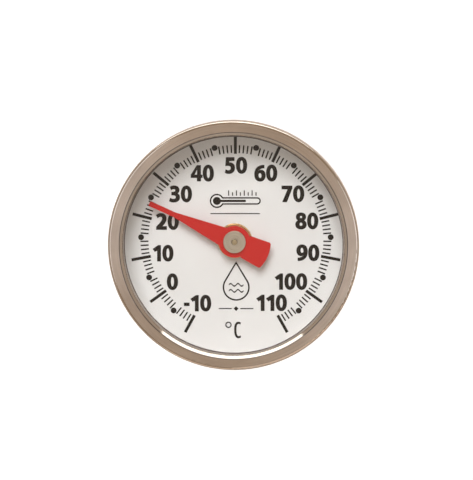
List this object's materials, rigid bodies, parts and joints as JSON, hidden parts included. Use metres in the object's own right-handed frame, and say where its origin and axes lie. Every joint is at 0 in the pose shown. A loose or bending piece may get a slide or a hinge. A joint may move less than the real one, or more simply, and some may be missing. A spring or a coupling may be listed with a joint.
{
  "type": "dial thermometer",
  "caption": "Small round dial thermometer: white Celsius dial with a red pointer under a flat lens in a satin steel bezel, on a thin closed stem with a hex nut behind the head.",
  "frame": {"origin": "on the stem's axis, level with the underside of the hex nut, where the stem leaves the head", "axes": "+Z out of the dial towards the reader, -Z down the stem to its tip, +Y to the mark at the top of the scale"},
  "size_m": [0.0285, 0.0284, 0.1356],
  "materials": {
    "bezel_steel": "satin stainless steel with a fine turned grain",
    "case_steel": "satin drawn stainless steel",
    "stem_steel": "ground stainless steel tube",
    "nut_steel": "plated steel hexagon",
    "ferrule_steel": "turned stainless steel",
    "spring_steel": "dark spring steel",
    "hub_steel": "faced steel with turning rings",
    "clear_lens": "clear flat glass",
    "gasket_rubber": "warm grey rubber",
    "seal_rubber": "black rubber",
    "dial_white": "warm white enamel on aluminium, printed black",
    "pointer_red": "satin red enamel on thin aluminium",
    "brass": "turned brass",
    "bimetal": "rolled two-metal strip"
  },
  "bodies": {
    "stem": {"stem_tube": "stem_steel", "stem_tip": "stem_steel", "stem_ferrule": "ferrule_steel", "hex_nut": "nut_steel", "friction_washer": "spring_steel", "case_seal": "seal_rubber", "upper_bearing": "brass", "middle_guide": "brass", "lower_guide": "brass", "coil_anchor": "ferrule_steel", "bimetal_coil": "bimetal"},
    "head": {"case_cup": "case_steel", "bezel_ring": "bezel_steel", "lens": "clear_lens", "lens_gasket": "gasket_rubber", "dial_plate": "dial_white"},
    "pointer": {"pointer": "pointer_red", "pointer_collet": "brass", "hub_disc": "hub_steel", "pointer_shaft": "brass", "coil_collar": "brass"}
  },
  "joints": [
    {"name": "calibration_turn", "type": "hinge", "parent": "stem", "child": "head", "pos_m": [0, 0, 0.0036], "axis": [0, 0, 1], "continuous": true},
    {"name": "pointer_turn", "type": "hinge", "parent": "stem", "child": "pointer", "pos_m": [0, 0, 0.00835], "axis": [0, 0, 1], "range_deg": [-217, 85.4], "stiffness_Nm_per_rad": 0.00025, "deforming": ["bimetal_coil"]}
  ]
}
